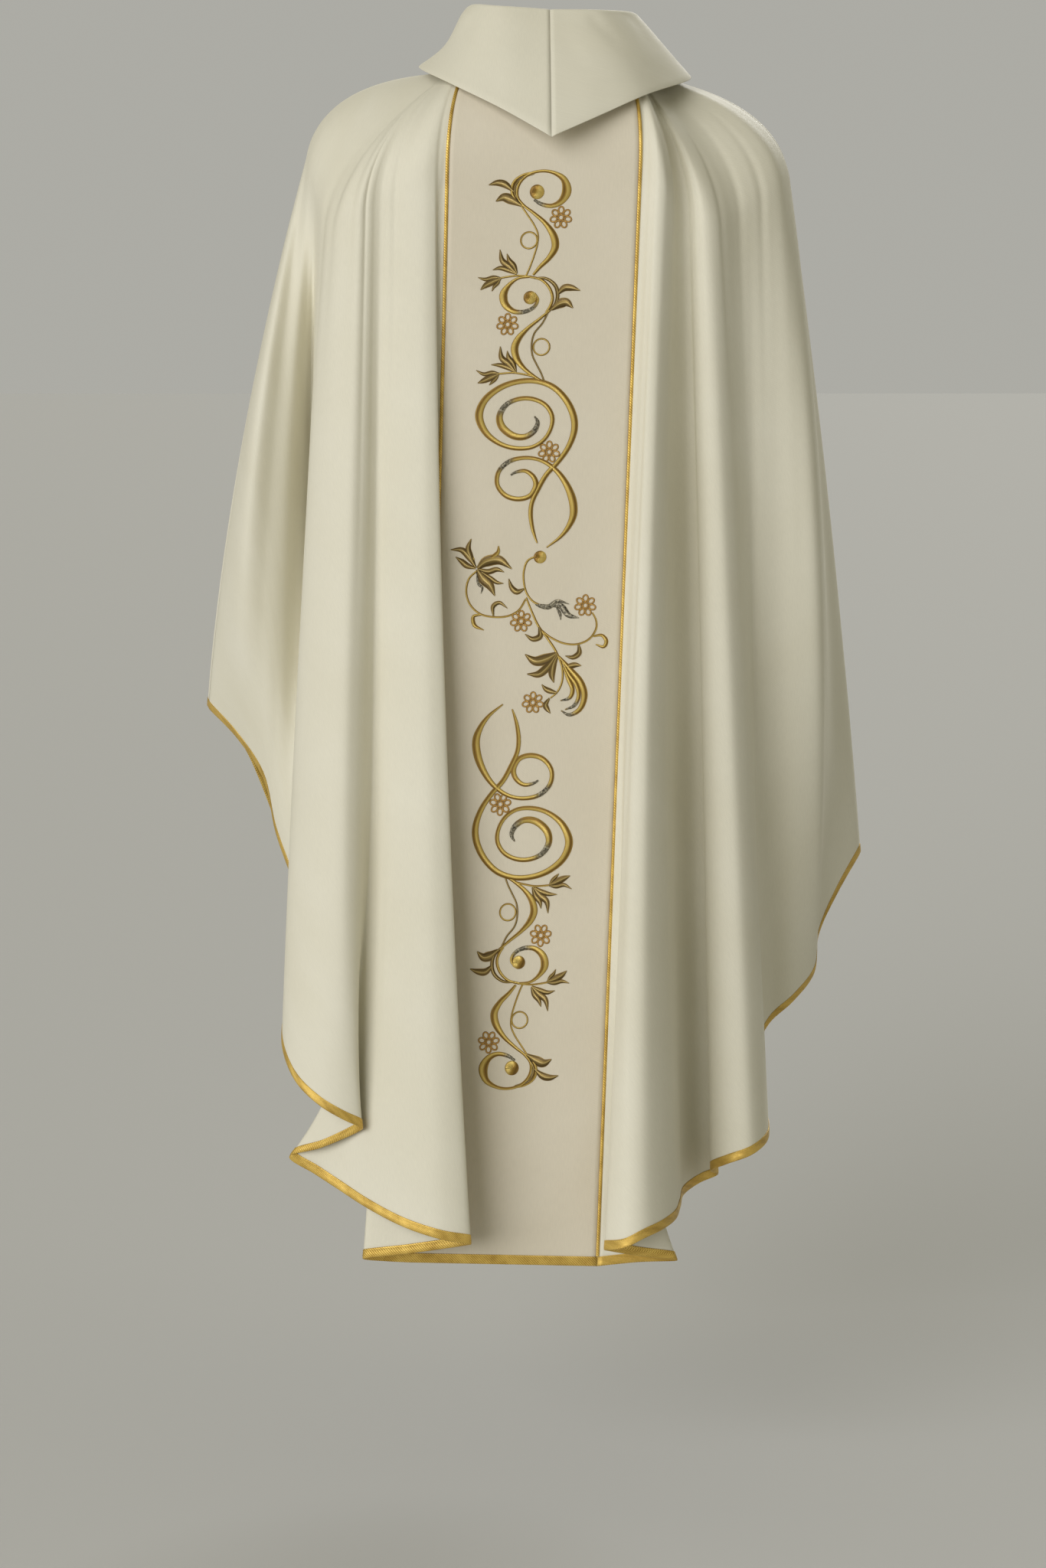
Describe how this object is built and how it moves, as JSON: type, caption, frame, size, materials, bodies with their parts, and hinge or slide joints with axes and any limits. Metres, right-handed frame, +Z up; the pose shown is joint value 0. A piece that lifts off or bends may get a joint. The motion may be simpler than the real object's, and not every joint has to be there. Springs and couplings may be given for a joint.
{
  "type": "chasuble",
  "caption": "Wide sleeveless vestment as it hangs when worn, with a turned-down collar, centre orphreys with stitched scrolls, piping and a bound hem.",
  "frame": {"origin": "centre of the neck opening at the height of the collar's rolled top", "axes": "+Z up, -Y out of the back, +Y out of the front, +X to the wearer's right"},
  "size_m": [0.7198, 0.4998, 1.2883],
  "materials": {
    "ivory_cloth": "smooth ivory gabardine, fine diagonal weave, soft sheen",
    "gold_braid": "metallic gold woven braid",
    "gold_thread": "raised metallic gold satin stitch",
    "stiffener": "white non-woven stiffener"
  },
  "bodies": {
    "root": {"back_left_panel": "ivory_cloth", "back_right_panel": "ivory_cloth", "back_orphrey": "ivory_cloth", "front_left_panel": "ivory_cloth", "front_right_panel": "ivory_cloth", "front_orphrey": "ivory_cloth", "left_shoulder_seam": "ivory_cloth", "right_shoulder_seam": "ivory_cloth", "collar_left": "ivory_cloth", "collar_right": "ivory_cloth", "under_collar_left": "ivory_cloth", "under_collar_right": "ivory_cloth", "neck_seam_tape": "ivory_cloth", "back_left_piping": "gold_braid", "back_right_piping": "gold_braid", "front_left_piping": "gold_braid", "front_right_piping": "gold_braid", "hem_binding": "gold_braid", "collar_interfacing_left": "stiffener", "collar_interfacing_right": "stiffener", "back_embroidery_backing": "stiffener", "front_embroidery_backing": "stiffener", "upper_scroll_embroidery": "gold_thread", "upper_scroll_flower_1": "gold_thread", "upper_scroll_flower_2": "gold_thread", "upper_scroll_flower_3": "gold_thread", "vine_embroidery": "gold_thread", "vine_flower_1": "gold_thread", "vine_flower_2": "gold_thread", "vine_flower_3": "gold_thread", "lower_scroll_embroidery": "gold_thread", "lower_scroll_flower_1": "gold_thread", "lower_scroll_flower_2": "gold_thread", "lower_scroll_flower_3": "gold_thread", "front_upper_scroll_embroidery": "gold_thread", "front_upper_scroll_flower_1": "gold_thread", "front_upper_scroll_flower_2": "gold_thread", "front_upper_scroll_flower_3": "gold_thread", "front_vine_embroidery": "gold_thread", "front_vine_flower_1": "gold_thread", "front_vine_flower_2": "gold_thread", "front_vine_flower_3": "gold_thread", "front_lower_scroll_embroidery": "gold_thread", "front_lower_scroll_flower_1": "gold_thread", "front_lower_scroll_flower_2": "gold_thread", "front_lower_scroll_flower_3": "gold_thread"}
  },
  "joints": []
}
